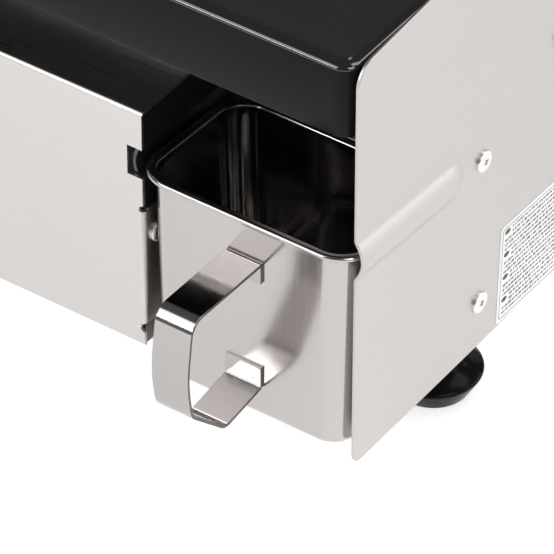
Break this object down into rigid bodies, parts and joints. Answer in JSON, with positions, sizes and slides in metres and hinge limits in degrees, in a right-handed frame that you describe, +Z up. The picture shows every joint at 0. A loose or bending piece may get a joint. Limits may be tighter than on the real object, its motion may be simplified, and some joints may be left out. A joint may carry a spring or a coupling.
{
  "type": "electric griddle",
  "caption": "Countertop electric griddle with a black cooking plate, folded steel housing, adjustable feet and a slide-out grease container with a strap handle.",
  "frame": {"origin": "on the floor under the middle of the whole object's box", "axes": "+Z up, -Y is the front with the controls and the grease container, +X is the side with the container"},
  "size_m": [0.5551, 0.4726, 0.2699],
  "materials": {
    "steel_sheet": "fine brushed stainless sheet",
    "steel_inner": "plain stainless inner sheet, dull",
    "zinc_sheet": "galvanised sheet, dull",
    "steel_drawn": "deep-drawn stainless, satin",
    "plate_black": "satin black enamelled cooking plate",
    "screw_bright": "bright nickel-plated",
    "heater_tube": "oxidised heating tube",
    "mineral_wool": "needled mineral fibre",
    "copper_tube": "copper tube",
    "phenolic": "brown phenolic",
    "black_plastic": "moulded black",
    "pointer_white": "white insert",
    "lens_green": "clear green lens",
    "lens_amber": "clear amber lens",
    "button_red": "red button",
    "dial_print": "anodised disc with a printed scale",
    "ceramic": "glazed ceramic",
    "wire_cover": "silicone sleeve",
    "brass": "plain brass",
    "label_white": "printed film",
    "foot_rubber": "glossy black rubber",
    "zinc_steel": "zinc-plated steel"
  },
  "bodies": {
    "housing": {"side_panel_right": "steel_sheet", "side_panel_left": "steel_sheet", "front_panel": "steel_sheet", "bay_partition": "steel_inner", "bay_back_wall": "steel_inner", "base_pan": "zinc_sheet", "back_panel": "steel_sheet", "splash_guard": "steel_sheet", "griddle_plate": "plate_black", "drain_spout": "steel_inner", "tray_brackets": "zinc_sheet", "heating_element_front": "heater_tube", "heating_element_rear": "heater_tube", "element_clamps": "steel_inner", "plate_studs": "zinc_steel", "plate_nuts": "zinc_steel", "insulation_blanket": "mineral_wool", "heat_shield": "zinc_sheet", "thermostat_body": "phenolic", "thermostat_bulb": "copper_tube", "thermostat_capillary": "copper_tube", "thermostat_screws": "screw_bright", "safety_cutout": "phenolic", "cutout_bulb": "copper_tube", "cutout_capillary": "copper_tube", "power_lamp": "lens_green", "heating_lamp": "lens_amber", "lamp_bodies": "black_plastic", "dial_plate": "dial_print", "terminal_block": "ceramic", "internal_wiring": "wire_cover", "cable_gland": "black_plastic", "gland_nut": "black_plastic", "earth_stud": "brass", "rating_label": "label_white", "side_screws": "screw_bright", "bay_screws": "screw_bright", "base_screws": "screw_bright", "back_screws": "screw_bright", "foot_nuts": "zinc_steel"},
    "container": {"grease_container": "steel_drawn", "container_handle": "steel_drawn"},
    "knob": {"control_knob": "black_plastic", "knob_pointer": "pointer_white", "thermostat_shaft": "zinc_steel"},
    "reset": {"reset_button": "button_red"},
    "foot_front_left_body": {"foot_front_left": "foot_rubber", "foot_stem_front_left": "zinc_steel"},
    "foot_front_right_body": {"foot_front_right": "foot_rubber", "foot_stem_front_right": "zinc_steel"},
    "foot_rear_left_body": {"foot_rear_left": "foot_rubber", "foot_stem_rear_left": "zinc_steel"},
    "foot_rear_right_body": {"foot_rear_right": "foot_rubber", "foot_stem_rear_right": "zinc_steel"}
  },
  "joints": [
    {"name": "container_slide", "type": "slide", "parent": "housing", "child": "container", "axis": [0, -0.9976, 0.0698], "range_m": [0, 0.075]},
    {"name": "knob_turn", "type": "hinge", "parent": "housing", "child": "knob", "pos_m": [-0.05285, -0.18165, 0.109], "axis": [0, 1, 0], "range_deg": [0, 270]},
    {"name": "reset_press", "type": "slide", "parent": "housing", "child": "reset", "axis": [0, -1, 0], "range_m": [0, 0.002], "stiffness_N_per_m": 800},
    {"name": "foot_front_left_turn", "type": "hinge", "parent": "housing", "child": "foot_front_left_body", "pos_m": [-0.25085, -0.08365, 0.02], "axis": [0, 0, 1], "continuous": true},
    {"name": "foot_front_right_turn", "type": "hinge", "parent": "housing", "child": "foot_front_right_body", "pos_m": [0.24915, -0.08365, 0.02], "axis": [0, 0, 1], "continuous": true},
    {"name": "foot_rear_left_turn", "type": "hinge", "parent": "housing", "child": "foot_rear_left_body", "pos_m": [-0.25085, 0.15835, 0.02], "axis": [0, 0, 1], "continuous": true},
    {"name": "foot_rear_right_turn", "type": "hinge", "parent": "housing", "child": "foot_rear_right_body", "pos_m": [0.24915, 0.15835, 0.02], "axis": [0, 0, 1], "continuous": true}
  ]
}
